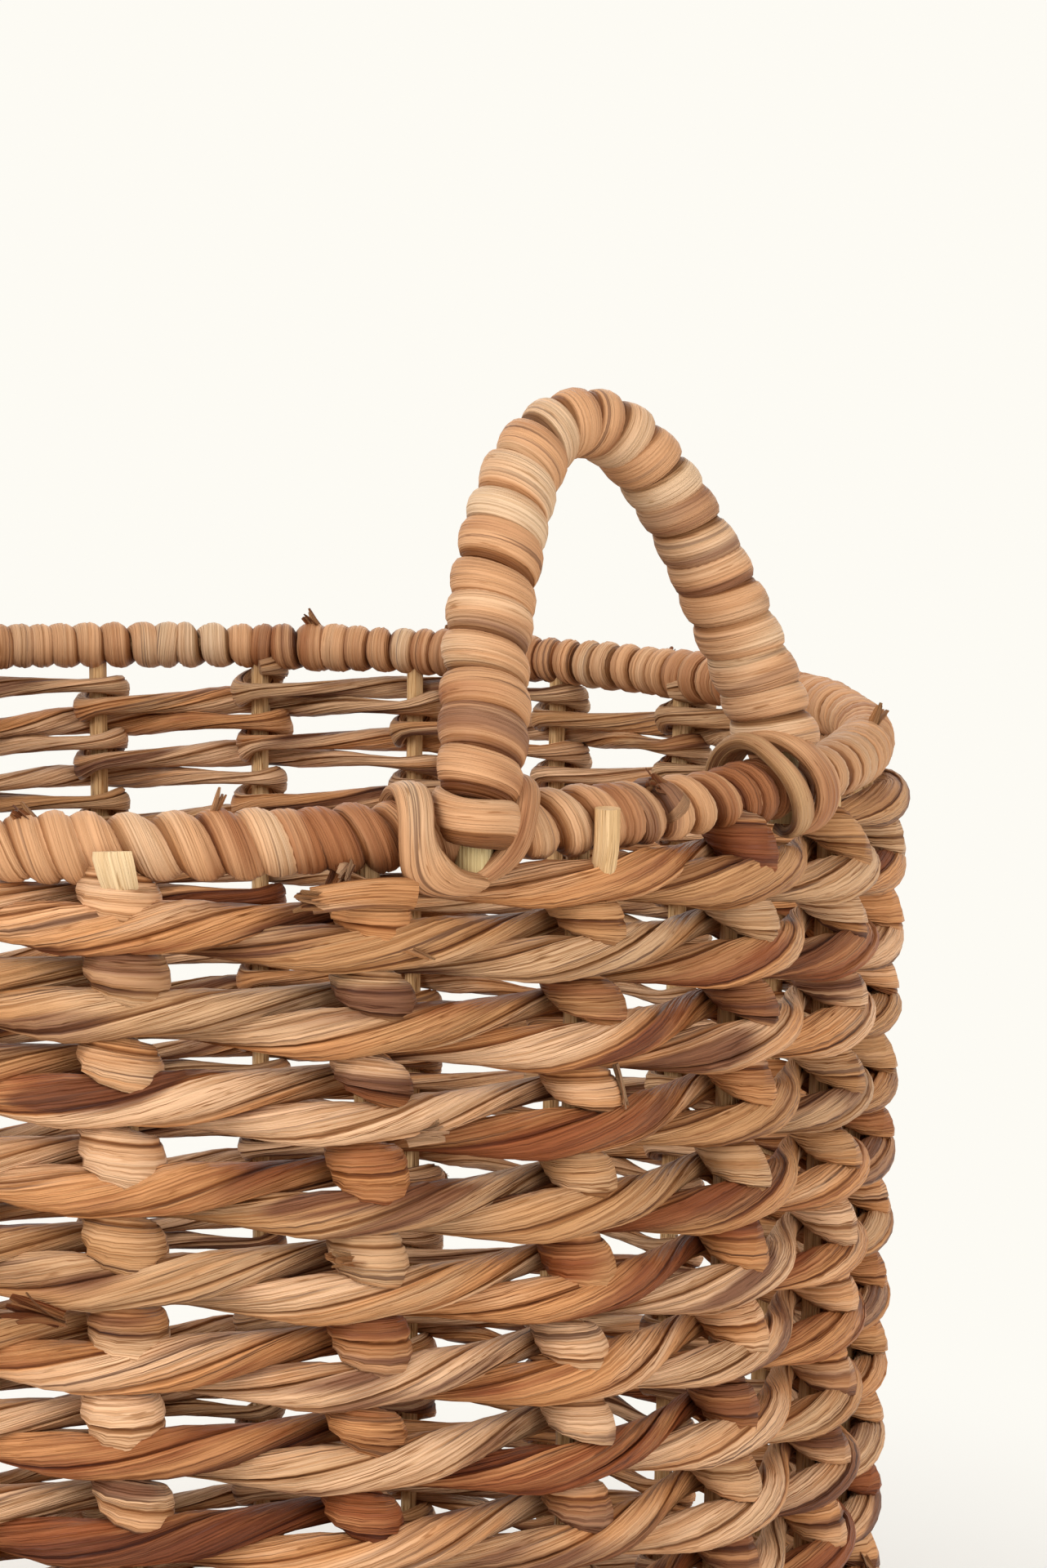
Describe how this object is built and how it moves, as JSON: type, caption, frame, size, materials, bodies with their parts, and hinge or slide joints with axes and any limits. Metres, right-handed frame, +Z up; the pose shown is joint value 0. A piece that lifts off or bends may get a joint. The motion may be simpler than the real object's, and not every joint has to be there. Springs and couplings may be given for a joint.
{
  "type": "water hyacinth basket",
  "caption": "Round open-weave storage basket of thick plant strands on rattan stakes, with a wrapped rim and wrapped loop handles.",
  "frame": {"origin": "on the floor, under the middle of the base", "axes": "+Z up along the basket's axis, the two loop handles stand on the rim at +X and -X"},
  "size_m": [0.4238, 0.4238, 0.4559],
  "materials": {
    "rattan": "matte",
    "hyacinth_strand": "matte",
    "hyacinth_wrap": "satin"
  },
  "bodies": {
    "root": {"stake_rod_01": "rattan", "stake_rod_02": "rattan", "stake_rod_03": "rattan", "stake_rod_04": "rattan", "stake_rod_05": "rattan", "stake_rod_06": "rattan", "stake_rod_07": "rattan", "stake_rod_08": "rattan", "stake_rod_09": "rattan", "stake_rod_10": "rattan", "stake_rod_11": "rattan", "stake_rod_12": "rattan", "base_binding": "hyacinth_strand", "base_weaver_outer_1": "hyacinth_strand", "base_weaver_outer_2": "hyacinth_strand", "base_weaver_inner_1": "hyacinth_strand", "base_weaver_inner_2": "hyacinth_strand", "wall_weaver_1_lower": "hyacinth_strand", "wall_weaver_1_middle": "hyacinth_strand", "wall_weaver_1_upper": "hyacinth_strand", "wall_weaver_2_lower": "hyacinth_strand", "wall_weaver_2_middle": "hyacinth_strand", "wall_weaver_2_upper": "hyacinth_strand", "wall_weaver_3_lower": "hyacinth_strand", "wall_weaver_3_middle": "hyacinth_strand", "wall_weaver_3_upper": "hyacinth_strand", "wall_weaver_4_lower": "hyacinth_strand", "wall_weaver_4_middle": "hyacinth_strand", "wall_weaver_4_upper": "hyacinth_strand", "wall_weaver_5_lower": "hyacinth_strand", "wall_weaver_5_middle": "hyacinth_strand", "wall_weaver_5_upper": "hyacinth_strand", "wall_weaver_6_lower": "hyacinth_strand", "wall_weaver_6_middle": "hyacinth_strand", "wall_weaver_6_upper": "hyacinth_strand", "rim_hoop": "rattan", "rim_wrapping": "hyacinth_wrap", "right_handle_core": "rattan", "right_handle_winding": "hyacinth_wrap", "right_handle_lashing_1": "hyacinth_wrap", "right_handle_lashing_2": "hyacinth_wrap", "left_handle_core": "rattan", "left_handle_winding": "hyacinth_wrap", "left_handle_lashing_1": "hyacinth_wrap", "left_handle_lashing_2": "hyacinth_wrap"}
  },
  "joints": []
}
